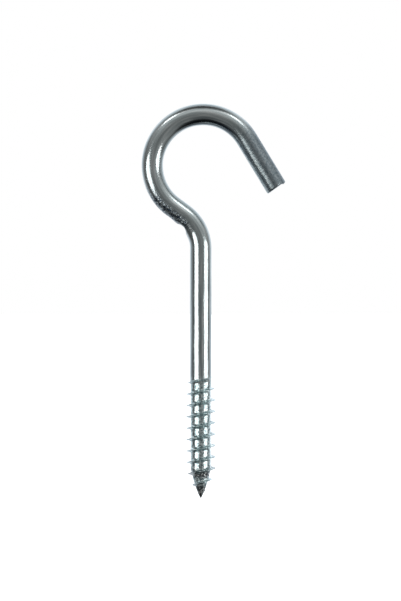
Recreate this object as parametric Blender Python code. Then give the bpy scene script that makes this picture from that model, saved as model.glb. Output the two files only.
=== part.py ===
"""Screw hook: one length of round wire, bent to an open hook, with a wood-screw thread rolled on its end.

The thread's axis is Z with the point down, and the hook lies in the XZ plane, open towards +X.
The origin is on that axis where the thread starts. Lengths are metres and angles are degrees.
"""

import math

import bmesh
import bpy
from mathutils import Matrix, Vector

# Wire and bends, in order from the thread to the cropped end
WIRE_DIAMETER = 0.0060
SHANK_LENGTH = 0.0355  # straight, from the thread to the neck bend
NECK_INSIDE_RADIUS = 0.0088
NECK_STRAIGHT = 0.0037  # straight, from the neck bend to the bowl
BOWL_INSIDE_RADIUS = 0.01125
BOWL_OFFSET = 0.0007  # the bowl's centre stands this far in front of the thread's axis
LEG_LENGTH = 0.0159  # straight, from the bowl to the cropped end
LEG_LEAN = 31.3  # the leg's lean from straight down
CROP_TILT = 5.0  # the cropped end is out of square by this much, its outer side shorter
CROP_EDGE = 0.0003  # rounding of the cropped end's edge

# Dent that the bending pin pressed into the inside of the neck
PIN_RADIUS = 0.0025
PIN_DENT = 0.00045
PIN_PLACE = 0.75  # share of the neck's bend, counted from the shank

# Thread
THREAD_LENGTH = 0.0341  # from its start to the tip of the point
THREAD_DIAMETER = 0.0083
CORE_DIAMETER = 0.0057
PITCH = 0.003175  # 8 turns to the inch
CREST_WIDTH = 0.0003
ROOT_WIDTH = 0.0014
FLANK_HOLLOW = 0.3  # height of the flank's middle, as a share: below 0.5 the flank is hollow
START_ANGLE = 45.0  # where the thread starts, counted from +X towards +Y
RUN_OUT_TURNS = 1.75  # turns in which the crest rises from nothing to its full height
GROOVE_TURNS = 0.5  # turns in which the groove sinks from the wire to the core
THINNEST = 0.3  # a low stretch of thread keeps at least this share of its width

# Point
POINT_LENGTH = 0.00775
POINT_FULLNESS = 0.7  # below 1 the point's sides bulge out, and 1 is a plain cone
BARE_POINT = 0.0010  # length at the tip that has no thread
TIP_RADIUS = 0.0002

# Fineness of the mesh
SIDES = 24  # faces round the wire, and steps in a turn of the thread
BEND_STEP = 6.0  # greatest turn from one ring of a bend to the next
TIP_RINGS = 3
PIN_SIDES = 48
WELD = 0.00003

WIRE_RADIUS = WIRE_DIAMETER / 2
CORE_RADIUS = CORE_DIAMETER / 2
THREAD_HEIGHT = (THREAD_DIAMETER - CORE_DIAMETER) / 2
THREAD_END = THREAD_LENGTH - BARE_POINT
NECK_RADIUS = NECK_INSIDE_RADIUS + WIRE_RADIUS
BOWL_RADIUS = BOWL_INSIDE_RADIUS + WIRE_RADIUS

NECK_CENTRE = Vector((-NECK_RADIUS, 0, SHANK_LENGTH))
CENTRE_DISTANCE = math.hypot(NECK_RADIUS + BOWL_RADIUS, NECK_STRAIGHT)
BOWL_RISE = math.sqrt(CENTRE_DISTANCE**2 - (NECK_RADIUS + BOWL_OFFSET) ** 2)
BOWL_CENTRE = Vector((BOWL_OFFSET, 0, SHANK_LENGTH + BOWL_RISE))

# The straight between two opposite bends touches both, which settles how far each one turns.
CENTRES_ANGLE = math.degrees(math.atan2(BOWL_RISE, NECK_RADIUS + BOWL_OFFSET))
STRAIGHT_ANGLE = math.degrees(math.asin((NECK_RADIUS + BOWL_RADIUS) / CENTRE_DISTANCE))
NECK_TURN = CENTRES_ANGLE + STRAIGHT_ANGLE - 90
BOWL_TURN = NECK_TURN + 180 - LEG_LEAN

# Lines along the thread, from its upper root over the crest to its lower root: (offset up, height share)
FLANK_MIDDLE = (ROOT_WIDTH + CREST_WIDTH) / 4
THREAD_LINES = (
    (ROOT_WIDTH / 2, 0),
    (FLANK_MIDDLE, FLANK_HOLLOW),
    (CREST_WIDTH / 2, 1),
    (-CREST_WIDTH / 2, 1),
    (-FLANK_MIDDLE, FLANK_HOLLOW),
    (-ROOT_WIDTH / 2, 0),
)


def heading(turned):
    """The wire's direction once it has turned this far from straight up, towards -X."""
    return Vector((-math.sin(math.radians(turned)), 0, math.cos(math.radians(turned))))


def zinc_plated_steel():
    material = bpy.data.materials.new("zinc_plated_steel")
    material.use_nodes = True
    shader = material.node_tree.nodes["Principled BSDF"]
    shader.inputs["Base Color"].default_value = (0.62, 0.65, 0.67, 1)
    shader.inputs["Metallic"].default_value = 1
    shader.inputs["Roughness"].default_value = 0.25
    return material


def object_from(bm, name):
    bmesh.ops.recalc_face_normals(bm, faces=bm.faces)
    mesh = bpy.data.meshes.new(name)
    bm.to_mesh(mesh)
    bm.free()
    mesh.shade_smooth()
    mesh.set_sharp_from_angle(angle=math.radians(30))
    made = bpy.data.objects.new(name, mesh)
    bpy.context.scene.collection.objects.link(made)
    return made


def within_0_1(value):
    return min(1, max(0, value))


def point_radius(height):
    """Radius of the point this far above its tip, without the thread."""
    return CORE_RADIUS * within_0_1(height / POINT_LENGTH) ** POINT_FULLNESS


def crest_share(turns):
    """Height of the crest: it eases in at the top and fades out down the point."""
    rising = within_0_1(turns / RUN_OUT_TURNS)
    left = within_0_1((THREAD_END - PITCH * turns) / (POINT_LENGTH - BARE_POINT))
    return (1 - (1 - rising) ** 2) * left**POINT_FULLNESS


def thread_corner(turns, offset, height):
    """A point on one line of the thread, after this many turns clockwise and down."""
    share = crest_share(turns)
    offset *= max(share, THINNEST)
    z = offset - PITCH * turns
    if z > 0:
        z, radius = 0, WIRE_RADIUS
    elif z < -THREAD_END:
        z, radius = -THREAD_END, point_radius(BARE_POINT)
    else:
        # The groove above the first turn is still plain wire, and the one below it sinks to the core.
        sunk = within_0_1((turns - 0.5 - offset / ROOT_WIDTH) / GROOVE_TURNS)
        groove = WIRE_RADIUS + (CORE_RADIUS - WIRE_RADIUS) * sunk
        radius = min(groove, point_radius(THREAD_LENGTH + z)) + THREAD_HEIGHT * share * height
    angle = math.radians(START_ANGLE) - math.tau * turns
    return Vector((radius * math.cos(angle), radius * math.sin(angle), z))


def rolled_thread(bm):
    """The threaded skin, as one strip that winds down right-handed, each turn joined to the next.

    It winds on for a turn past each end. Whatever passes an end is drawn back to it and welded there.
    """
    steps = math.ceil(THREAD_END / PITCH * SIDES)
    strip = [
        [bm.verts.new(thread_corner(step / SIDES, *line)) for line in THREAD_LINES]
        for step in range(-SIDES, steps + SIDES + 1)
    ]
    for here, after in zip(strip, strip[1:]):
        for line in range(len(THREAD_LINES) - 1):
            bm.faces.new((here[line], here[line + 1], after[line + 1], after[line]))
    for index in range(len(strip) - SIDES - 1):
        upper, lower = strip[index : index + 2], strip[index + SIDES : index + SIDES + 2]
        bm.faces.new((upper[0][-1], lower[0][0], lower[1][0], upper[1][-1]))
    bmesh.ops.remove_doubles(bm, verts=bm.verts, dist=WELD)


def open_ring(bm, z):
    """The open edges at this height."""
    return [
        edge
        for edge in bm.edges
        if edge.is_boundary and all(abs(vert.co.z - z) < WELD for vert in edge.verts)
    ]


def ring_of(made):
    """The edges of an extrusion's far end, and their vertices."""
    verts = {item for item in made if isinstance(item, bmesh.types.BMVert)}
    edges = [item for item in made if isinstance(item, bmesh.types.BMEdge)]
    return [edge for edge in edges if verts.issuperset(edge.verts)], list(verts)


def verts_of(ring):
    return list({vert for edge in ring for vert in edge.verts})


def extrude_straight(bm, ring, move):
    edges, verts = ring_of(bmesh.ops.extrude_edge_only(bm, edges=ring)["geom"])
    bmesh.ops.translate(bm, verts=verts, vec=move)
    return edges


def extrude_bend(bm, ring, centre, turn):
    """Bends the wire about an axis along Y through centre. A positive turn goes towards -X."""
    made = bmesh.ops.spin(
        bm,
        geom=verts_of(ring) + ring,
        cent=centre,
        axis=(0, 1, 0),
        angle=-math.radians(turn),
        steps=math.ceil(abs(turn) / BEND_STEP),
    )
    return ring_of(made["geom_last"])[0]


def point_the_tip(bm, ring):
    """Draws the ring below the thread down to the tip and closes it."""
    radius = point_radius(BARE_POINT)
    for number in range(1, TIP_RINGS + 1):
        height = BARE_POINT * (1 - number / TIP_RINGS)
        ring = extrude_straight(bm, ring, Vector((0, 0, -BARE_POINT / TIP_RINGS)))
        smaller = max(TIP_RADIUS, point_radius(height))
        shrink = smaller / radius
        bmesh.ops.scale(bm, verts=verts_of(ring), vec=(shrink, shrink, 1))
        radius = smaller
    bmesh.ops.contextual_create(bm, geom=ring)


def crop_end(bm, ring):
    """Tilts the wire's last ring, closes it and rounds its edge."""
    verts = verts_of(ring)
    middle = sum((vert.co for vert in verts), Vector()) / len(verts)
    down_leg = heading(NECK_TURN - BOWL_TURN)
    outwards = down_leg.cross(Vector((0, 1, 0)))
    outwards *= math.copysign(1, outwards.x)
    for vert in verts:
        side = (vert.co - middle).dot(outwards)
        vert.co -= down_leg * side * math.tan(math.radians(CROP_TILT))
    bmesh.ops.contextual_create(bm, geom=ring)
    bmesh.ops.bevel(bm, geom=ring, offset=CROP_EDGE, segments=2, profile=0.5, affect="EDGES")


def bent_wire():
    bm = bmesh.new()
    rolled_thread(bm)
    point_the_tip(bm, open_ring(bm, -THREAD_END))
    ring = open_ring(bm, 0)
    ring = extrude_straight(bm, ring, heading(0) * SHANK_LENGTH)
    ring = extrude_bend(bm, ring, NECK_CENTRE, NECK_TURN)
    ring = extrude_straight(bm, ring, heading(NECK_TURN) * NECK_STRAIGHT)
    ring = extrude_bend(bm, ring, BOWL_CENTRE, -BOWL_TURN)
    ring = extrude_straight(bm, ring, heading(NECK_TURN - BOWL_TURN) * LEG_LENGTH)
    crop_end(bm, ring)
    return object_from(bm, "screw_hook")


def bending_pin():
    """Cutter in the shape of the pin, its side just inside the inner curve of the neck."""
    reach = NECK_INSIDE_RADIUS + PIN_DENT - PIN_RADIUS
    angle = math.radians(PIN_PLACE * NECK_TURN)
    place = NECK_CENTRE + Vector((math.cos(angle), 0, math.sin(angle))) * reach
    bm = bmesh.new()
    bmesh.ops.create_cone(
        bm,
        cap_ends=True,
        segments=PIN_SIDES,
        radius1=PIN_RADIUS,
        radius2=PIN_RADIUS,
        depth=2 * WIRE_DIAMETER,
        matrix=Matrix.Translation(place) @ Matrix.Rotation(math.pi / 2, 4, "X"),
    )
    cutter = object_from(bm, "bending_pin")
    cutter.hide_render = True
    cutter.display_type = "WIRE"
    return cutter


def main():
    for old in list(bpy.data.objects):
        bpy.data.objects.remove(old)
    hook = bent_wire()
    hook.data.materials.append(zinc_plated_steel())
    dent = hook.modifiers.new("pin dent", "BOOLEAN")
    dent.operation = "DIFFERENCE"
    dent.object = bending_pin()


main()
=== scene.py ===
"""Looks of a zinc-plated screw hook: one length of drawn wire, bent, cropped and rolled with a wood thread.

Lengths are metres and angles are degrees unless a name says otherwise. The hook keeps the frame of the
solid model: the thread's axis is Z with the point down, and the hook lies in the XZ plane, open towards +X.
"""

import math

import bpy
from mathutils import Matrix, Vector


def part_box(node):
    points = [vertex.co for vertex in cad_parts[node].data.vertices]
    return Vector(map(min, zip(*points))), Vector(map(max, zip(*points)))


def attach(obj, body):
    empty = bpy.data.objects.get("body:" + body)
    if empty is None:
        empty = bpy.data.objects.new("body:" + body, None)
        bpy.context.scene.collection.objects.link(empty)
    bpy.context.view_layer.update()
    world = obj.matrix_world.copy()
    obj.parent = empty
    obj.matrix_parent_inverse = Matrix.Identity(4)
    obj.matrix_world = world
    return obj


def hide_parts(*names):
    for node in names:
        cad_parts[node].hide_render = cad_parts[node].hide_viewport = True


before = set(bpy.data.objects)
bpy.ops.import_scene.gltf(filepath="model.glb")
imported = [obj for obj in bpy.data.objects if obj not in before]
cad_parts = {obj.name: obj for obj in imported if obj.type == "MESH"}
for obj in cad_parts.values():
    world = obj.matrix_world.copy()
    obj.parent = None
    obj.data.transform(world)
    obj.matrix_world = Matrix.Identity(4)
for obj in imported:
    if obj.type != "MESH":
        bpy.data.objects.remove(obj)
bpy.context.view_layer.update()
LOW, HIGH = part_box("screw_hook")
MM = 0.001

# Wire and bends, in order from the thread to the cropped end. Bend radii are to the wire's centre.
WIRE_RADIUS = 3.0 * MM
NECK_BEND = 11.8 * MM
NECK_STRAIGHT = 3.7 * MM
BOWL_BEND = 14.25 * MM
LEG_LENGTH = 15.9 * MM
LEG_LEAN = 31.3  # from the shank's direction
PATH_STEP = 0.5 * MM  # longest step between points of the wire's centre

# What the frame settles: the thread's size, and where the bowl stands
THREAD_LENGTH = -LOW.z
CREST_RADIUS = (HIGH.y - LOW.y) / 2
BOWL_OFFSET = LOW.x + BOWL_BEND + WIRE_RADIUS
CENTRE_DISTANCE = math.hypot(NECK_BEND + BOWL_BEND, NECK_STRAIGHT)
BOWL_RISE = math.sqrt(CENTRE_DISTANCE**2 - (NECK_BEND + BOWL_OFFSET) ** 2)
SHANK_LENGTH = HIGH.z - WIRE_RADIUS - BOWL_BEND - BOWL_RISE

# The straight between the two bends touches both, which settles how far each one turns.
NECK_TURN = (
    math.degrees(math.atan2(BOWL_RISE, NECK_BEND + BOWL_OFFSET))
    + math.degrees(math.asin((NECK_BEND + BOWL_BEND) / CENTRE_DISTANCE))
    - 90
)
BOWL_TURN = NECK_TURN + 180 - LEG_LEAN
WIRE_LENGTH = (
    SHANK_LENGTH
    + math.radians(NECK_TURN) * NECK_BEND
    + NECK_STRAIGHT
    + math.radians(BOWL_TURN) * BOWL_BEND
    + LEG_LENGTH
)
LEG_START = WIRE_LENGTH - LEG_LENGTH
NECK_END = SHANK_LENGTH + math.radians(NECK_TURN) * NECK_BEND

# Dent that the bending pin pressed into the inside of the neck
PIN_RADIUS = 2.5 * MM
PIN_DENT = 0.45 * MM
PIN_PLACE = 0.75  # share of the neck's bend, counted from the shank

# Bruises that the bending roller left across the neck's upper end
ROLLER_PLACE = NECK_END + 3 * MM
ROLLER_SIDE = (-0.52, -0.60, -0.60)  # the way out of the wire towards the roller
BRUISE_WIDTH = 0.9 * MM
BRUISE_CENTRE = 0.6  # noise that leaves the wire's own radius: most bruises go inwards
BRUISE_SWING = 2.0  # makes half the noise's range the depth

# Waviness left by drawing and bending
WAVE_LENGTH = 3.5 * MM
WAVE_SWING = 4.0  # the noise mostly keeps within a quarter of its middle, and this makes that the height

# Thread
STRIP_LINES = 25  # lines along the thread, from the middle of one groove to the next
POINT_BULGE = 0.7  # power of the point's outline: below 1 it bulges
RUN_OUT_RISE = [(0, 0), (0.36, 0.45), (0.64, 0.75), (1, 1)]
POINT_FADE = [(0, 0), (0.12, 0.0), (0.45, 0.55), (0.8, 0.9), (1, 1)]
LOWEST_CREST_WIDTH = 0.35  # share of the crest's width that is left where its height fades out
CREST_SHARES = (0.86, 1.10)  # uneven crests run between these shares of their height
CREST_CHANGES = 2.2  # times in a turn

SIDES = 96  # faces round the wire, and steps in a turn of the thread
ROW = 0.2 * MM  # length of a face along the wire
WELD = 0.0001 * MM

# Finish. The real marks are a few hundredths of a millimetre wide, which is too fine to show. These are
# drawn with half a millimetre between the coarsest.
MARK_SPACING = 0.55 * MM
LINE_SQUEEZE = 0.06  # stretches the draw lines to 17 times their spacing
TORN_PLACE = LOW.z + 4.6 * MM  # middle of a band on the point that kept its plating
# A paler painted highlight line, left in the painted shade inside the bowl and the leg
PAINTED_HIGHLIGHT_LINE = 0.42 * WIRE_RADIUS  # inwards from the leg's centre
# Colour of the painted shade inside the bowl and over the leg, and of the rub specks on the neck and the
# thread
SHADE_AND_RUB_COLOUR = "465362"
LEG_DULLNESS = 0.6  # share of the thread's
THREAD_SPECKS = 0.15  # share of the neck's
BRIGHT_ROUGHNESS, LEG_ROUGHNESS, GRAIN_ROUGHNESS = 0.15, 0.36, 0.06
GRAIN_WEIGHT = 1.1  # height of the grain over the height of the draw lines
BRIGHT_DEPTH, DULL_DEPTH, BRUISED_DEPTH = 0.024, 0.040, 0.14  # of both, in millimetres

# Brightness of the surroundings. Each stop is a cosine along one axis of the scene, and a level.
ROOM_SIDEWAYS = ((-1, 0.24), (-0.75, 0.2), (-0.4, 0.27), (-0.05, 0.21), (0.05, 0.21), (0.4, 0.3),
                 (0.75, 0.36), (1, 0.45))
ROOM_UPWARDS = ((-1, 0.03), (-0.93, 0.035), (-0.83, 0.07), (-0.69, 0.22), (-0.37, 0.25), (0, 0.285),
                (0.18, 0.32), (0.37, 0.42), (0.54, 0.6), (0.69, 0.85), (0.82, 0.9), (0.93, 0.3), (1, 0.12))
ROOM_FORWARDS = ((-1, 1), (-0.45, 1), (-0.2, 0.72), (0.04, 0.55), (0.3, 0.35), (0.6, 0.2), (1, 0))
ROOM_BRIGHTNESS = 3.5
SHEET_FORWARDS = ((0.1, 0), (0.28, 0.31), (0.45, 0.38), (0.6, 0.7), (0.75, 0.95), (0.9, 1))
SHEET_UPWARDS = ((-1, 0.6), (-0.4, 0.85), (0, 1), (0.6, 1.1), (1, 1.3))
SHEET_TINT = (0.93, 0.99, 1.06)

# Each lamp's azimuth and elevation, its width and height, and its radiance
LAMPS = {
    "left_softbox": (-48, -4, 0.92, 0.68, 2.3),
    "right_softbox": (60, -3, 0.86, 0.58, 2.3),
    "upper_left_lamp": (-57, 51, 0.32, 0.28, 2.4),
    "upper_right_lamp": (53, 49, 0.30, 0.30, 2.4),
}
LAMP_DISTANCE = 1.2
LAMP_TARGET = Vector((0, 0, 45 * MM))

FLOOR_DROP = 0.4 * MM  # gap between the point and the floor
FLOOR_REACH = 12.0  # far enough for its edge to stay out of sight

LENS, SENSOR = 200, 36  # millimetres, as the camera takes them
VIEW_HEIGHT = 167.8 * MM
VIEW_CENTRE = (-0.07 * MM, (LOW.z + HIGH.z) / 2 + 0.07 * MM)


def heading(turned):
    """The wire's direction once it has turned this far from straight up, towards -X."""
    return Vector((-math.sin(math.radians(turned)), 0, math.cos(math.radians(turned))))


def add(tree, kind, inputs=None, **settings):
    """Adds a node with its settings. An input is a value, an output, or a node for its first output."""
    node = tree.nodes.new(kind)
    for name, value in settings.items():
        setattr(node, name, value)
    for socket, value in (inputs or {}).items():
        if isinstance(value, bpy.types.Node):
            value = value.outputs[0]
        if isinstance(value, bpy.types.NodeSocket):
            tree.links.new(value, node.inputs[socket])
        else:
            node.inputs[socket].default_value = value
    return node


def shape_curve(node, points):
    """Gives a Float Curve node these points, joined by its own smooth curve."""
    curve = node.mapping.curves[0]
    curve.points[0].location = points[0]
    curve.points[-1].location = points[-1]
    for point in points[1:-1]:
        curve.points.new(*point)
    node.mapping.update()
    return node


def set_stops(ramp, stops):
    """Gives a Color Ramp node these stops, each a place and a colour."""
    elements = ramp.color_ramp.elements
    while len(elements) > 1:
        elements.remove(elements[-1])
    elements[0].position, elements[0].color = stops[0]
    for position, colour in stops[1:]:
        elements.new(position).color = colour
    return ramp


def linear(hex_colour):
    """An sRGB colour such as "C8CDCF" as linear red, green, blue and alpha."""
    shares = [int(hex_colour[i : i + 2], 16) / 255 for i in (0, 2, 4)]
    return (*[s / 12.92 if s <= 0.04045 else ((s + 0.055) / 1.055) ** 2.4 for s in shares], 1)


def wire_centre():
    """Points along the wire's centre, from the start of the thread to the cropped end."""
    stretches = (
        (SHANK_LENGTH, 0),
        (math.radians(NECK_TURN) * NECK_BEND, NECK_TURN),
        (NECK_STRAIGHT, 0),
        (math.radians(BOWL_TURN) * BOWL_BEND, -BOWL_TURN),
        (LEG_LENGTH, 0),
    )
    at, turned = Vector(), 0
    points = [at.copy()]
    for length, turn in stretches:
        steps = math.ceil(length / PATH_STEP)
        half_turn = math.radians(turn / steps / 2)
        chord = length / steps * (math.sin(half_turn) / half_turn if turn else 1)
        for _ in range(steps):
            at = at + heading(turned + turn / steps / 2) * chord
            turned += turn / steps
            points.append(at.copy())
    return points


def curve_through(points, name):
    curve = bpy.data.curves.new(name, "CURVE")
    curve.dimensions = "3D"
    spline = curve.splines.new("POLY")
    spline.points.add(len(points) - 1)
    for spline_point, point in zip(spline.points, points):
        spline_point.co = (*point, 1)
    made = bpy.data.objects.new(name, curve)
    bpy.context.scene.collection.objects.link(made)
    return made


def pin_axis():
    """Where the bending pin stood: its side reaches just inside the inner curve of the neck."""
    angle = math.radians(PIN_PLACE * NECK_TURN)
    reach = NECK_BEND - WIRE_RADIUS + PIN_DENT - PIN_RADIUS
    return Vector((math.cos(angle) * reach - NECK_BEND, 0, math.sin(angle) * reach + SHANK_LENGTH))


def hook_sizes(material):
    """The named inputs of the hook's node tree."""
    return {
        "Wire radius": WIRE_RADIUS,
        "Sides": SIDES,
        "Row": ROW,
        "End rounding": 0.35 * MM,
        "End slant": 0.085,
        "Slant length": 4 * MM,
        "Burr length": 0.30 * MM,
        "Burr edge": 1.9 * MM,
        "Burr rise": 0.25 * MM,
        "Burr root": 1.2 * MM,
        "Waviness": 0.010 * MM,
        "Bruise depth": 0.08 * MM,
        "Pin axis": pin_axis(),
        "Pin radius": PIN_RADIUS,
        "Pin swelling": 0.16 * MM,
        "Thread length": THREAD_LENGTH,
        "Pitch": 3.175 * MM,
        "Crest radius": CREST_RADIUS,
        "Core radius": 2.80 * MM,
        "Crest width": 0.14 * MM,
        "Root width": 1.6 * MM,
        "Flank hollow": 3.6,
        "Start angle": math.radians(45),
        "Run-out turns": 1.75,
        "Groove turns": 0.5,
        "Point length": 7.75 * MM,
        "Tip radius": 0.18 * MM,
        "Tip closing": 0.3 * MM,
        "Seed": 7.0,
        "Finish": material,
    }


SOCKET_KINDS = {
    float: "NodeSocketFloat",
    int: "NodeSocketInt",
    Vector: "NodeSocketVector",
    bpy.types.Material: "NodeSocketMaterial",
}


def new_shape_tree(name, sizes):
    """A geometry tree with one named input for each size. Returns it with those inputs' sockets."""
    tree = bpy.data.node_groups.new(name, "GeometryNodeTree")
    tree.interface.new_socket("Path", in_out="INPUT", socket_type="NodeSocketGeometry")
    for label, value in sizes.items():
        kind = SOCKET_KINDS[type(value)]
        tree.interface.new_socket(label, in_out="INPUT", socket_type=kind)
    tree.interface.new_socket("Shape", in_out="OUTPUT", socket_type="NodeSocketGeometry")
    return tree, tree.nodes.new("NodeGroupInput").outputs


def rounded_end(tree, size, from_end):
    """The wire's radius, which rounds the edge of the cropped end."""
    edge_share = add(tree, "ShaderNodeMapRange",
                     {"Value": from_end, "From Min": size["End rounding"], "From Max": 0.0})
    edge_square = add(tree, "ShaderNodeMath", {0: edge_share, 1: 2.0}, operation="POWER")
    edge_rise = add(tree, "ShaderNodeMath", {0: 1.0, 1: edge_square}, operation="SUBTRACT")
    edge_round = add(tree, "ShaderNodeMath", {0: edge_rise}, operation="SQRT")
    edge_loss = add(tree, "ShaderNodeMath", {0: 1.0, 1: edge_round}, operation="SUBTRACT")
    trim = add(tree, "ShaderNodeMath", {0: edge_loss, 1: size["End rounding"]}, operation="MULTIPLY")
    return add(tree, "ShaderNodeMath", {0: size["Wire radius"], 1: trim}, operation="SUBTRACT")


def with_waves(tree, size, radius, unbent, along):
    """Gentle waviness left by drawing and bending, which fades out towards the thread."""
    noise = add(tree, "ShaderNodeTexNoise",
                {"Vector": unbent, "W": size["Seed"], "Scale": 1 / WAVE_LENGTH, "Detail": 1.0},
                noise_dimensions="4D")
    wave = add(tree, "ShaderNodeMath", {0: noise, 1: 0.5}, operation="SUBTRACT")
    settled = add(tree, "ShaderNodeMapRange", {"Value": along, "From Max": 3 * MM},
                  interpolation_type="SMOOTHSTEP")
    depth = add(tree, "ShaderNodeMath", {0: size["Waviness"], 1: settled}, operation="MULTIPLY")
    height = add(tree, "ShaderNodeMath", {0: wave, 1: depth}, operation="MULTIPLY")
    return add(tree, "ShaderNodeMath", {0: height, 1: WAVE_SWING, 2: radius}, operation="MULTIPLY_ADD")


def with_bruises(tree, size, radius, unbent, along, outwards):
    """Bruises where the bending roller pressed, on the outside of the neck's upper end."""
    toward = add(tree, "ShaderNodeVectorMath", {0: outwards, 1: ROLLER_SIDE}, operation="DOT_PRODUCT")
    facing = add(tree, "ShaderNodeMapRange",
                 {"Value": toward.outputs["Value"], "From Min": 0.25, "From Max": 0.7},
                 interpolation_type="SMOOTHSTEP")
    offset = add(tree, "ShaderNodeMath", {0: along, 1: ROLLER_PLACE}, operation="SUBTRACT")
    away = add(tree, "ShaderNodeMath", {0: offset}, operation="ABSOLUTE")
    near = add(tree, "ShaderNodeMapRange", {"Value": away, "From Min": 10 * MM, "From Max": 4 * MM},
               interpolation_type="SMOOTHSTEP")
    bruised = add(tree, "ShaderNodeMath", {0: facing, 1: near}, operation="MULTIPLY")
    noise = add(tree, "ShaderNodeTexNoise",
                {"Vector": unbent, "W": size["Seed"], "Scale": 1 / BRUISE_WIDTH, "Detail": 4.0,
                 "Roughness": 0.65}, noise_dimensions="4D")
    bruise = add(tree, "ShaderNodeMath", {0: noise, 1: BRUISE_CENTRE}, operation="SUBTRACT")
    depth = add(tree, "ShaderNodeMath", {0: bruised, 1: size["Bruise depth"]}, operation="MULTIPLY")
    height = add(tree, "ShaderNodeMath", {0: bruise, 1: depth}, operation="MULTIPLY")
    return add(tree, "ShaderNodeMath", {0: height, 1: BRUISE_SWING, 2: radius}, operation="MULTIPLY_ADD")


def crop_slide(tree, size, inner_side, from_end):
    """How far the end slides along the wire: it is cropped out of square, with a burr on its outer edge."""
    near_end = add(tree, "ShaderNodeMapRange",
                   {"Value": from_end, "From Min": size["Slant length"], "From Max": 0.0},
                   interpolation_type="SMOOTHSTEP")
    slant = add(tree, "ShaderNodeMath", {0: inner_side, 1: size["End slant"]}, operation="MULTIPLY")
    slide = add(tree, "ShaderNodeMath", {0: slant, 1: near_end}, operation="MULTIPLY")
    outer_side = add(tree, "ShaderNodeMath", {0: inner_side, 1: -1.0}, operation="MULTIPLY")
    past_edge = add(tree, "ShaderNodeMath", {0: outer_side, 1: size["Burr edge"]}, operation="SUBTRACT")
    share = add(tree, "ShaderNodeMapRange", {"Value": past_edge, "From Max": size["Burr rise"]})
    reach = add(tree, "ShaderNodeMapRange",
                {"Value": from_end, "From Min": size["Burr root"], "From Max": 0.0})
    burr = add(tree, "ShaderNodeMath", {0: share, 1: reach}, operation="MULTIPLY")
    return add(tree, "ShaderNodeMath", {0: burr, 1: size["Burr length"], 2: slide},
               operation="MULTIPLY_ADD")


def dented_by_pin(tree, size, placed, outwards):
    """The pin pushes aside whatever it overlaps, and the metal swells a little beside it."""
    from_pin = add(tree, "ShaderNodeVectorMath", {0: placed, 1: size["Pin axis"]}, operation="SUBTRACT")
    flat = add(tree, "ShaderNodeVectorMath", {0: from_pin, 1: (1.0, 0.0, 1.0)}, operation="MULTIPLY")
    gap = add(tree, "ShaderNodeVectorMath", {0: flat}, operation="LENGTH")
    overlap = add(tree, "ShaderNodeMath", {0: size["Pin radius"], 1: gap.outputs["Value"]},
                  operation="SUBTRACT")
    push = add(tree, "ShaderNodeMath", {0: overlap, 1: 0.0}, operation="MAXIMUM")
    push_way = add(tree, "ShaderNodeVectorMath", {0: flat}, operation="NORMALIZE")
    pushed = add(tree, "ShaderNodeVectorMath", {0: push_way, "Scale": push}, operation="SCALE")
    dented = add(tree, "ShaderNodeVectorMath", {0: placed, 1: pushed}, operation="ADD")
    beside = add(tree, "ShaderNodeMapRange",
                 {"Value": overlap, "From Min": -2.2 * MM, "From Max": -0.3 * MM},
                 interpolation_type="SMOOTHSTEP")
    swell_edge = add(tree, "ShaderNodeMapRange",
                     {"Value": overlap, "From Min": 0.15 * MM, "From Max": -0.25 * MM},
                     interpolation_type="SMOOTHSTEP")
    share = add(tree, "ShaderNodeMath", {0: beside, 1: swell_edge}, operation="MULTIPLY")
    swell = add(tree, "ShaderNodeMath", {0: share, 1: size["Pin swelling"]}, operation="MULTIPLY")
    swollen = add(tree, "ShaderNodeVectorMath", {0: outwards, "Scale": swell}, operation="SCALE")
    return add(tree, "ShaderNodeVectorMath", {0: dented, 1: swollen}, operation="ADD")


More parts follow.
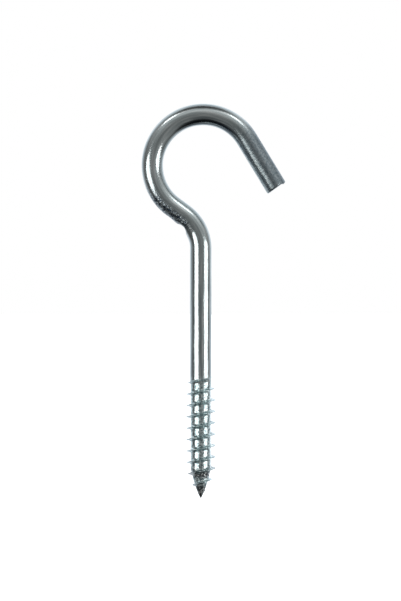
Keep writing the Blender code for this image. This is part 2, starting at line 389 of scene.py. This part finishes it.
def plain_wire(tree, size):
    """The smooth wire: a grid whose rows follow the path and whose last rows close the cropped end."""
    length = add(tree, "GeometryNodeCurveLength", {0: size["Path"]})
    radius = size["Wire radius"]
    skin_length = add(tree, "ShaderNodeMath", {0: length, 1: radius}, operation="ADD")
    rows = add(tree, "ShaderNodeMath", {0: skin_length, 1: size["Row"]}, operation="DIVIDE")
    columns = add(tree, "ShaderNodeMath", {0: size["Sides"], 1: 1.0}, operation="ADD")
    grid = add(tree, "GeometryNodeMeshGrid", {"Vertices X": rows, "Vertices Y": columns})
    place = add(tree, "ShaderNodeSeparateXYZ", {0: grid.outputs["UV Map"]})

    along_skin = add(tree, "ShaderNodeMath", {0: place.outputs["X"], 1: skin_length}, operation="MULTIPLY")
    along = add(tree, "ShaderNodeMath", {0: along_skin, 1: length}, operation="MINIMUM")
    past_end = add(tree, "ShaderNodeMath", {0: along_skin, 1: along}, operation="SUBTRACT")
    from_end = add(tree, "ShaderNodeMath", {0: length, 1: along}, operation="SUBTRACT")
    angle = add(tree, "ShaderNodeMath", {0: place.outputs["Y"], 1: -math.tau}, operation="MULTIPLY")

    centre = add(tree, "GeometryNodeSampleCurve", {"Curves": size["Path"], "Length": along}, mode="LENGTH")
    tangent = centre.outputs["Tangent"]
    across = add(tree, "ShaderNodeVectorMath", {0: (0.0, 1.0, 0.0), 1: tangent}, operation="CROSS_PRODUCT")
    outwards = add(tree, "ShaderNodeVectorRotate", {"Vector": across, "Axis": tangent, "Angle": angle})

    # The wire as if it were straight, which keeps patterns running along it
    straight = add(tree, "ShaderNodeCombineXYZ", {"X": radius, "Z": along})
    unbent = add(tree, "ShaderNodeVectorRotate", {"Vector": straight, "Angle": angle},
                 rotation_type="Z_AXIS")

    trimmed = rounded_end(tree, size, from_end)
    wavy = with_waves(tree, size, trimmed, unbent, along)
    bruised = with_bruises(tree, size, wavy, unbent, along, outwards)
    cap = add(tree, "ShaderNodeMapRange",
              {"Value": past_end, "From Max": radius, "To Min": 1.0, "To Max": 0.0})
    skin_radius = add(tree, "ShaderNodeMath", {0: bruised, 1: cap}, operation="MULTIPLY")

    to_side = add(tree, "ShaderNodeVectorMath", {0: outwards, "Scale": skin_radius}, operation="SCALE")
    side = add(tree, "ShaderNodeVectorMath", {0: to_side, 1: across}, operation="DOT_PRODUCT")
    slide = crop_slide(tree, size, side.outputs["Value"], from_end)
    slid = add(tree, "ShaderNodeVectorMath", {0: tangent, "Scale": slide}, operation="SCALE")
    on_ring = add(tree, "ShaderNodeVectorMath", {0: centre.outputs["Position"], 1: to_side},
                  operation="ADD")
    placed = add(tree, "ShaderNodeVectorMath", {0: on_ring, 1: slid}, operation="ADD")
    final = dented_by_pin(tree, size, placed, outwards)
    skin = add(tree, "GeometryNodeSetPosition", {"Geometry": grid, "Position": final})
    return keep_unbent(tree, skin, unbent)


def keep_unbent(tree, skin, unbent):
    """Stores the unbent place of each point, which the finish reads."""
    return add(tree, "GeometryNodeStoreNamedAttribute",
               {"Geometry": skin, "Name": "unbent", "Value": unbent},
               data_type="FLOAT_VECTOR", domain="POINT")


def thread_crest(tree, size, turns, offset, point_share):
    """Height of the thread above the wire's core: a thin blade with hollow flanks.

    The crest rises out of the wire at the top, fades out down the point, and is narrower where it is low.
    """
    rising = add(tree, "ShaderNodeMapRange", {"Value": turns, "From Max": size["Run-out turns"]})
    eased = shape_curve(add(tree, "ShaderNodeFloatCurve", {"Value": rising}), RUN_OUT_RISE)
    fading = shape_curve(add(tree, "ShaderNodeFloatCurve", {"Value": point_share}), POINT_FADE)
    crest_share = add(tree, "ShaderNodeMath", {0: eased, 1: fading}, operation="MULTIPLY")

    width_share = add(tree, "ShaderNodeMapRange", {"Value": crest_share, "To Min": LOWEST_CREST_WIDTH})
    half_root = add(tree, "ShaderNodeMath", {0: size["Root width"], 1: 0.5}, operation="MULTIPLY")
    half_crest = add(tree, "ShaderNodeMath", {0: size["Crest width"], 1: 0.5}, operation="MULTIPLY")
    root_reach = add(tree, "ShaderNodeMath", {0: half_root, 1: width_share}, operation="MULTIPLY")
    crest_reach = add(tree, "ShaderNodeMath", {0: half_crest, 1: width_share}, operation="MULTIPLY")
    offset_size = add(tree, "ShaderNodeMath", {0: offset}, operation="ABSOLUTE")
    up_flank = add(tree, "ShaderNodeMapRange",
                   {"Value": offset_size, "From Min": root_reach, "From Max": crest_reach})
    section = add(tree, "ShaderNodeMath", {0: up_flank, 1: size["Flank hollow"]}, operation="POWER")

    # Crests are a little uneven, as rolled ones are
    noise = add(tree, "ShaderNodeTexNoise", {"W": turns, "Scale": CREST_CHANGES, "Detail": 2.0},
                noise_dimensions="1D")
    uneven = add(tree, "ShaderNodeMapRange",
                 {"Value": noise, "To Min": CREST_SHARES[0], "To Max": CREST_SHARES[1]})
    above_core = add(tree, "ShaderNodeMath", {0: size["Crest radius"], 1: size["Core radius"]},
                     operation="SUBTRACT")
    crest_height = add(tree, "ShaderNodeMath", {0: above_core, 1: uneven}, operation="MULTIPLY")
    full_height = add(tree, "ShaderNodeMath", {0: crest_height, 1: crest_share}, operation="MULTIPLY")
    return add(tree, "ShaderNodeMath", {0: full_height, 1: section}, operation="MULTIPLY")


def thread_core(tree, size, turns, offset, above_tip, point_share):
    """Radius between the crests. The first groove is still plain wire, and the next sinks to the core."""
    over_root = add(tree, "ShaderNodeMath", {0: offset, 1: size["Root width"]}, operation="DIVIDE")
    over_root_held = add(tree, "ShaderNodeClamp", {"Value": over_root, "Min": -0.5, "Max": 0.5})
    turned = add(tree, "ShaderNodeMath", {0: turns, 1: over_root_held}, operation="SUBTRACT")
    since_start = add(tree, "ShaderNodeMath", {0: turned, 1: 0.5}, operation="SUBTRACT")
    sunk = add(tree, "ShaderNodeMapRange", {"Value": since_start, "From Max": size["Groove turns"]},
               interpolation_type="SMOOTHSTEP")
    groove = add(tree, "ShaderNodeMapRange",
                 {"Value": sunk, "To Min": size["Wire radius"], "To Max": size["Core radius"]})
    outline = add(tree, "ShaderNodeMath", {0: point_share, 1: POINT_BULGE}, operation="POWER")
    cone_radius = add(tree, "ShaderNodeMath", {0: outline, 1: size["Core radius"]}, operation="MULTIPLY")
    point_radius = add(tree, "ShaderNodeMath", {0: cone_radius, 1: size["Tip radius"]}, operation="MAXIMUM")
    on_point = add(tree, "ShaderNodeMath", {0: above_tip, 1: size["Point length"]}, operation="LESS_THAN")
    return add(tree, "GeometryNodeSwitch", {"Switch": on_point, "False": groove, "True": point_radius},
               input_type="FLOAT")


def rolled_thread(tree, size):
    """The threaded skin: one strip that winds down right-handed, each turn meeting the next.

    It winds on for a turn past each end. Whatever passes an end is drawn back to it and welded there.
    """
    pitch = size["Pitch"]
    turns_needed = add(tree, "ShaderNodeMath", {0: size["Thread length"], 1: pitch}, operation="DIVIDE")
    whole_turns = add(tree, "ShaderNodeMath", {0: turns_needed}, operation="CEIL")
    all_turns = add(tree, "ShaderNodeMath", {0: whole_turns, 1: 2.0}, operation="ADD")
    steps = add(tree, "ShaderNodeMath", {0: all_turns, 1: size["Sides"], 2: 1.0}, operation="MULTIPLY_ADD")
    grid = add(tree, "GeometryNodeMeshGrid", {"Vertices X": steps, "Vertices Y": STRIP_LINES})
    place = add(tree, "ShaderNodeSeparateXYZ", {0: grid.outputs["UV Map"]})
    turns = add(tree, "ShaderNodeMath", {0: place.outputs["X"], 1: all_turns, 2: -1.0},
                operation="MULTIPLY_ADD")

    # Lines along the strip, gathered towards the crest
    half_pitch = add(tree, "ShaderNodeMath", {0: pitch, 1: 0.5}, operation="MULTIPLY")
    share = add(tree, "ShaderNodeMapRange", {"Value": place.outputs["Y"], "To Min": 1.0, "To Max": -1.0})
    share_size = add(tree, "ShaderNodeMath", {0: share}, operation="ABSOLUTE")
    gathered = add(tree, "ShaderNodeMath", {0: share, 1: share_size}, operation="MULTIPLY")
    offset = add(tree, "ShaderNodeMath", {0: gathered, 1: half_pitch}, operation="MULTIPLY")

    # Height along the axis, and how far above the tip
    drop = add(tree, "ShaderNodeMath", {0: turns, 1: pitch}, operation="MULTIPLY")
    free_z = add(tree, "ShaderNodeMath", {0: offset, 1: drop}, operation="SUBTRACT")
    bottom = add(tree, "ShaderNodeMath", {0: size["Thread length"], 1: -1.0}, operation="MULTIPLY")
    z = add(tree, "ShaderNodeClamp", {"Value": free_z, "Min": bottom, "Max": 0.0})
    above_tip = add(tree, "ShaderNodeMath", {0: z, 1: bottom}, operation="SUBTRACT")
    point_share = add(tree, "ShaderNodeMapRange", {"Value": above_tip, "From Max": size["Point length"]})

    # Past the tip the strip closes onto the axis, and above the thread it keeps to the plain wire
    core = thread_core(tree, size, turns, offset, above_tip, point_share)
    height = thread_crest(tree, size, turns, offset, point_share)
    ridge_radius = add(tree, "ShaderNodeMath", {0: core, 1: height}, operation="ADD")
    past_tip = add(tree, "ShaderNodeMath", {0: bottom, 1: free_z}, operation="SUBTRACT")
    closing = add(tree, "ShaderNodeMapRange",
                  {"Value": past_tip, "From Max": size["Tip closing"], "To Min": 1.0, "To Max": 0.0})
    closed_radius = add(tree, "ShaderNodeMath", {0: ridge_radius, 1: closing}, operation="MULTIPLY")
    below_start = add(tree, "ShaderNodeMath", {0: free_z, 1: 0.0}, operation="LESS_THAN")
    radius = add(tree, "GeometryNodeSwitch",
                 {"Switch": below_start, "False": size["Wire radius"], "True": closed_radius},
                 input_type="FLOAT")

    # Round the axis
    turned_back = add(tree, "ShaderNodeMath", {0: turns, 1: -math.tau, 2: size["Start angle"]},
                      operation="MULTIPLY_ADD")
    beside_axis = add(tree, "ShaderNodeCombineXYZ", {"X": radius, "Z": z})
    round_axis = add(tree, "ShaderNodeVectorRotate", {"Vector": beside_axis, "Angle": turned_back},
                     rotation_type="Z_AXIS")
    skin = add(tree, "GeometryNodeSetPosition", {"Geometry": grid, "Position": round_axis})
    return keep_unbent(tree, skin, round_axis)


def screw_hook_tree(sizes):
    tree, size = new_shape_tree("screw hook", sizes)
    both = add(tree, "GeometryNodeJoinGeometry")
    for skin in (plain_wire(tree, size), rolled_thread(tree, size)):
        tree.links.new(skin.outputs[0], both.inputs[0])
    welded = add(tree, "GeometryNodeMergeByDistance", {"Geometry": both, "Distance": WELD})
    smooth = add(tree, "GeometryNodeSetShadeSmooth", {"Geometry": welded})
    realized = add(tree, "GeometryNodeRealizeInstances", {0: smooth})
    finished = add(tree, "GeometryNodeSetMaterial", {"Geometry": realized, "Material": size["Finish"]})
    add(tree, "NodeGroupOutput", {0: finished})
    return tree


def bent_wire_hook(material):
    """The whole hook as one closed skin."""
    sizes = hook_sizes(material)
    path = curve_through(wire_centre(), "wire_centre")
    modifier = path.modifiers.new("screw hook", "NODES")
    modifier.node_group = screw_hook_tree(sizes)
    for item in modifier.node_group.interface.items_tree:
        if item.name in sizes:
            modifier[item.identifier] = sizes[item.name]
    graph = bpy.context.evaluated_depsgraph_get()
    mesh = bpy.data.meshes.new_from_object(path.evaluated_get(graph))
    mesh.name = "zinc_plated_hook"
    bpy.data.objects.remove(path)
    hook = bpy.data.objects.new("zinc_plated_hook", mesh)
    bpy.context.scene.collection.objects.link(hook)
    return hook


def zinc_colour(tree, along, lines, grain, dull, point):
    """Zinc mottled along its draw lines, paler and grained where it is dull, nearly gone on the point."""
    mottle = add(tree, "ShaderNodeValToRGB", {"Fac": lines})
    set_stops(mottle, ((0.30, linear("A4AEAF")), (0.50, linear("BCC6C7")), (0.66, linear("DAE0E0"))))
    dull_mottle = add(tree, "ShaderNodeValToRGB", {"Fac": grain})
    set_stops(dull_mottle, ((0.36, linear("82989C")), (0.47, linear("BED0D2")), (0.58, linear("EAF6F6"))))
    zinc = add(tree, "ShaderNodeMix", {0: dull, 6: mottle, 7: dull_mottle}, data_type="RGBA")
    bare = add(tree, "ShaderNodeValToRGB", {"Fac": grain})
    set_stops(bare, ((0.40, linear("4E5659")), (0.49, linear("8E9494")), (0.57, linear("F0F4F2"))))
    from_torn = add(tree, "ShaderNodeMath", {0: along, 1: TORN_PLACE}, operation="SUBTRACT")
    from_torn_size = add(tree, "ShaderNodeMath", {0: from_torn}, operation="ABSOLUTE")
    dark = add(tree, "ShaderNodeMapRange",
               {"Value": from_torn_size, "From Min": 0.8 * MM, "From Max": 1.7 * MM})
    bared = add(tree, "ShaderNodeMath", {0: point, 1: dark}, operation="MULTIPLY")
    return add(tree, "ShaderNodeMix", {0: bared, 6: zinc.outputs[2], 7: bare}, data_type="RGBA")


def roller_rub(tree, along, inwards):
    """Where the bending roller rubbed: outside the neck's upper end."""
    outside = add(tree, "ShaderNodeMapRange",
                  {"Value": inwards, "From Min": -0.05 * WIRE_RADIUS, "From Max": -0.45 * WIRE_RADIUS})
    offset = add(tree, "ShaderNodeMath", {0: along, 1: ROLLER_PLACE}, operation="SUBTRACT")
    away = add(tree, "ShaderNodeMath", {0: offset}, operation="ABSOLUTE")
    near = add(tree, "ShaderNodeMapRange", {"Value": away, "From Min": 9 * MM, "From Max": 5 * MM})
    return add(tree, "ShaderNodeMath", {0: outside, 1: near}, operation="MULTIPLY")


def painted_inner_shade(tree, along, inwards, leg):
    """Painted shade: a dark band inside the bowl and the leg, short of the rim, with a paler painted
    highlight line along it.
    """
    inside = add(tree, "ShaderNodeMapRange",
                 {"Value": inwards, "From Min": 0.15 * WIRE_RADIUS, "From Max": 0.65 * WIRE_RADIUS})
    past_bowl_side = add(tree, "ShaderNodeMapRange",
                         {"Value": along, "From Min": LEG_START - 28 * MM,
                          "From Max": LEG_START - 17 * MM})
    before_rim = add(tree, "ShaderNodeMapRange",
                     {"Value": inwards, "From Min": 0.98 * WIRE_RADIUS, "From Max": 0.85 * WIRE_RADIUS})
    # Painted shade inside the bowl, carried on along the leg
    bowl_painted_shade = add(tree, "ShaderNodeMath", {0: inside, 1: past_bowl_side}, operation="MULTIPLY")
    less_on_leg = add(tree, "ShaderNodeMapRange", {"Value": leg, "To Min": 1.0, "To Max": 0.75})
    band = add(tree, "ShaderNodeMath", {0: bowl_painted_shade, 1: less_on_leg}, operation="MULTIPLY")
    # A paler line in the painted shade: a painted highlight
    from_line = add(tree, "ShaderNodeMath", {0: inwards, 1: PAINTED_HIGHLIGHT_LINE}, operation="SUBTRACT")
    from_line_size = add(tree, "ShaderNodeMath", {0: from_line}, operation="ABSOLUTE")
    beside_line = add(tree, "ShaderNodeMapRange",
                      {"Value": from_line_size, "From Min": 0.05 * WIRE_RADIUS,
                       "From Max": 0.14 * WIRE_RADIUS, "To Min": 0.6})
    lined = add(tree, "ShaderNodeMath", {0: band, 1: beside_line}, operation="MULTIPLY")
    return add(tree, "ShaderNodeMath", {0: lined, 1: before_rim}, operation="MULTIPLY")


def painted_leg_shade(tree, inwards, leg):
    """Painted shade over the leg: an even, darker grey, heaviest on its outer side."""
    outer_side = add(tree, "ShaderNodeMapRange",
                     {"Value": inwards, "From Min": 0.15 * WIRE_RADIUS, "From Max": 0.45 * WIRE_RADIUS,
                      "To Min": 0.60, "To Max": 0.12})
    return add(tree, "ShaderNodeMath", {0: outer_side, 1: leg}, operation="MULTIPLY")


def zinc_plated_steel():
    """Bright zinc, barrel-plated over drawn wire: a cool grey mirror, broken by draw lines and grain."""
    material = bpy.data.materials.new("zinc_plated_steel")
    material.use_nodes = True
    tree = material.node_tree
    shader = tree.nodes["Principled BSDF"]
    shader.inputs["Metallic"].default_value = 1.0
    unbent = add(tree, "ShaderNodeAttribute", attribute_name="unbent")
    place = unbent.outputs["Vector"]
    axes = add(tree, "ShaderNodeSeparateXYZ", {0: place})
    # Along starts at the thread's top, and inwards runs across the wire towards the inside of the bowl
    along, inwards = axes.outputs["Z"], axes.outputs["X"]

    # Draw lines run along the wire, and the plating's grain runs no way
    drawn = add(tree, "ShaderNodeMapping", {"Vector": place, "Scale": (1.0, 1.0, LINE_SQUEEZE)},
                vector_type="POINT")
    lines = add(tree, "ShaderNodeTexNoise", {"Vector": drawn, "Scale": 1 / MARK_SPACING, "Detail": 3.0})
    grain = add(tree, "ShaderNodeTexNoise",
                {"Vector": place, "Scale": 1 / MARK_SPACING, "Detail": 4.0, "Roughness": 0.6})

    # The leg and the thread were squeezed by tools, and took the plating duller. The point is nearly bare.
    leg = add(tree, "ShaderNodeMapRange",
              {"Value": along, "From Min": LEG_START - 8 * MM, "From Max": LEG_START + 2 * MM},
              interpolation_type="SMOOTHSTEP")
    thread = add(tree, "ShaderNodeMapRange", {"Value": along, "From Min": 0.5 * MM, "From Max": -2.5 * MM})
    point = add(tree, "ShaderNodeMapRange",
                {"Value": along, "From Min": LOW.z + 9.5 * MM, "From Max": LOW.z + 6.5 * MM})
    leg_dulled = add(tree, "ShaderNodeMath", {0: leg, 1: LEG_DULLNESS}, operation="MULTIPLY")
    dull = add(tree, "ShaderNodeMath", {0: leg_dulled, 1: thread}, operation="MAXIMUM")
    colour = zinc_colour(tree, along, lines, grain, dull, point)

    # Dark marks: painted shade along the inner band, streaked along the draw lines, and over the leg; rub
    # specks outside the neck and on the thread
    streaks = add(tree, "ShaderNodeMapRange",
                  {"Value": lines, "From Min": 0.60, "From Max": 0.46, "To Min": 0.1, "To Max": 0.9})
    streaked_painted_shade = add(tree, "ShaderNodeMath", {0: painted_inner_shade(tree, along, inwards, leg), 1: streaks},
                   operation="MULTIPLY")
    neck_rub = roller_rub(tree, along, inwards)
    thread_rub = add(tree, "ShaderNodeMath", {0: thread, 1: THREAD_SPECKS}, operation="MULTIPLY")
    rubbed = add(tree, "ShaderNodeMath", {0: neck_rub, 1: thread_rub}, operation="MAXIMUM")
    specks = add(tree, "ShaderNodeMapRange", {"Value": grain, "From Min": 0.54, "From Max": 0.46})
    specked = add(tree, "ShaderNodeMath", {0: rubbed, 1: specks}, operation="MULTIPLY")
    # Painted shade: the inner band and the leg's darker grey
    painted_shade_marks = add(tree, "ShaderNodeMath", {0: streaked_painted_shade, 1: painted_leg_shade(tree, inwards, leg)},
                      operation="MAXIMUM")
    shade_and_rub = add(tree, "ShaderNodeMath", {0: painted_shade_marks, 1: specked}, operation="MAXIMUM")
    # The painted shade and the rub specks darken the zinc's colour
    shaded_and_rubbed = add(tree, "ShaderNodeMix", {0: shade_and_rub, 6: colour.outputs[2], 7: linear(SHADE_AND_RUB_COLOUR)},
                  data_type="RGBA")
    tree.links.new(shaded_and_rubbed.outputs[2], shader.inputs["Base Color"])

    rough = add(tree, "ShaderNodeMapRange",
                {"Value": leg, "To Min": BRIGHT_ROUGHNESS, "To Max": LEG_ROUGHNESS})
    rough_grain = add(tree, "ShaderNodeMapRange",
                      {"Value": grain, "To Min": GRAIN_ROUGHNESS, "To Max": -GRAIN_ROUGHNESS})
    roughness = add(tree, "ShaderNodeMath", {0: rough, 1: rough_grain}, operation="ADD")
    tree.links.new(roughness.outputs[0], shader.inputs["Roughness"])

    # The lines and the grain are deepest on the point and where the roller pressed
    relief = add(tree, "ShaderNodeMath", {0: grain, 1: GRAIN_WEIGHT, 2: lines}, operation="MULTIPLY_ADD")
    even_depth = add(tree, "ShaderNodeMapRange",
                     {"Value": dull, "To Min": BRIGHT_DEPTH, "To Max": DULL_DEPTH})
    bruised = add(tree, "ShaderNodeMath", {0: point, 1: neck_rub}, operation="MAXIMUM")
    depth = add(tree, "ShaderNodeMapRange",
                {"Value": bruised, "To Min": even_depth, "To Max": BRUISED_DEPTH})
    height = add(tree, "ShaderNodeMath", {0: relief, 1: depth}, operation="MULTIPLY")
    bump = add(tree, "ShaderNodeBump", {"Height": height, "Strength": 1.0, "Distance": 1.0 * MM})
    tree.links.new(bump.outputs[0], shader.inputs["Normal"])
    return material


def opal_acrylic():
    """Opal acrylic of a light table, lit from below: even white with no visible texture."""
    material = bpy.data.materials.new("opal_acrylic")
    material.use_nodes = True
    shader = material.node_tree.nodes["Principled BSDF"]
    shader.inputs["Base Color"].default_value = linear("F4F5F5")
    shader.inputs["Roughness"].default_value = 0.6
    shader.inputs["Emission Color"].default_value = linear("FFFFFF")
    shader.inputs["Emission Strength"].default_value = 0.85
    return material


def floor():
    """A white floor. The metal does not mirror it, because the room reads dark below the hook."""
    z = LOW.z - FLOOR_DROP
    sides = ((-1, -1), (1, -1), (1, 1), (-1, 1))
    corners = [(x * FLOOR_REACH, y * FLOOR_REACH, z) for x, y in sides]
    mesh = bpy.data.meshes.new("floor")
    mesh.from_pydata(corners, [], [(0, 1, 2, 3)])
    mesh.materials.append(opal_acrylic())
    made = bpy.data.objects.new("floor", mesh)
    made.visible_glossy = False
    bpy.context.scene.collection.objects.link(made)
    return made


def glow(tree, cosine, stops):
    """Brightness by direction along one axis, each stop a cosine and a level."""
    place = add(tree, "ShaderNodeMapRange", {"Value": cosine, "From Min": -1.0})
    ramp = add(tree, "ShaderNodeValToRGB", {"Fac": place})
    return set_stops(ramp, [((at + 1) / 2, (level, level, level, 1)) for at, level in stops])


def studio_world():
    """What the metal reflects: a white sheet behind it, a pale ceiling in front, and dark above and below.

    The camera itself sees plain white round the hook.
    """
    world = bpy.data.worlds.new("studio")
    world.use_nodes = True
    tree = world.node_tree
    tree.nodes.clear()
    direction = add(tree, "ShaderNodeTexCoord").outputs["Generated"]
    way = add(tree, "ShaderNodeSeparateXYZ", {0: direction}).outputs
    sideways = glow(tree, way["X"], ROOM_SIDEWAYS)
    upwards = glow(tree, way["Z"], ROOM_UPWARDS)
    forwards = glow(tree, way["Y"], ROOM_FORWARDS)
    sheet = glow(tree, way["Y"], SHEET_FORWARDS)
    sheet_height = glow(tree, way["Z"], SHEET_UPWARDS)

    room = add(tree, "ShaderNodeMix", {0: 1.0, 6: sideways, 7: upwards}, data_type="RGBA",
               blend_type="MULTIPLY")
    faded = add(tree, "ShaderNodeMix", {0: 1.0, 6: room.outputs[2], 7: forwards}, data_type="RGBA",
                blend_type="MULTIPLY")
    room_light = add(tree, "ShaderNodeVectorMath", {0: faded.outputs[2], "Scale": ROOM_BRIGHTNESS},
                     operation="SCALE")
    sheet_shape = add(tree, "ShaderNodeMix", {0: 1.0, 6: sheet, 7: sheet_height}, data_type="RGBA",
                      blend_type="MULTIPLY")
    sheet_light = add(tree, "ShaderNodeVectorMath", {0: sheet_shape.outputs[2], 1: SHEET_TINT},
                      operation="MULTIPLY")
    lit = add(tree, "ShaderNodeVectorMath", {0: room_light, 1: sheet_light}, operation="ADD")
    seen = add(tree, "ShaderNodeLightPath").outputs["Is Camera Ray"]
    shown = add(tree, "ShaderNodeMix", {0: seen, 6: lit, 7: linear("FFFFFF")}, data_type="RGBA")
    background = add(tree, "ShaderNodeBackground", {"Color": shown.outputs[2], "Strength": 1.0})
    add(tree, "ShaderNodeOutputWorld", {"Surface": background})
    bpy.context.scene.world = world


def lamp(name, azimuth, elevation, width, height, radiance):
    """A soft oval lamp aimed at the hook. Azimuth 0 is the camera's side, and a positive one its right."""
    side, rise = math.radians(azimuth), math.radians(elevation)
    way = Vector((math.sin(side) * math.cos(rise), -math.cos(side) * math.cos(rise), math.sin(rise)))
    light = bpy.data.lights.new(name, "AREA")
    light.shape = "ELLIPSE"
    light.size, light.size_y = width, height
    area = width * height * math.pi / 4
    light.energy = radiance * math.pi * area  # each square metre gives off pi times its radiance
    made = bpy.data.objects.new(name, light)
    made.location = LAMP_TARGET + way * LAMP_DISTANCE
    made.rotation_euler = way.to_track_quat("Z", "Y").to_euler()
    made.visible_camera = False
    bpy.context.scene.collection.objects.link(made)


def camera():
    lens = bpy.data.cameras.new("camera")
    lens.lens = LENS
    lens.sensor_width = SENSOR
    made = bpy.data.objects.new("camera", lens)
    made.location = (VIEW_CENTRE[0], -VIEW_HEIGHT * LENS / SENSOR, VIEW_CENTRE[1])
    made.rotation_euler = (math.radians(90), 0, 0)
    bpy.context.scene.collection.objects.link(made)
    bpy.context.scene.camera = made


def main():
    camera()
    hook = bent_wire_hook(zinc_plated_steel())
    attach(hook, "root")
    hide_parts("screw_hook")
    floor()
    studio_world()
    for name, settings in LAMPS.items():
        lamp(name, *settings)
    bpy.context.scene.view_settings.view_transform = "Standard"


main()
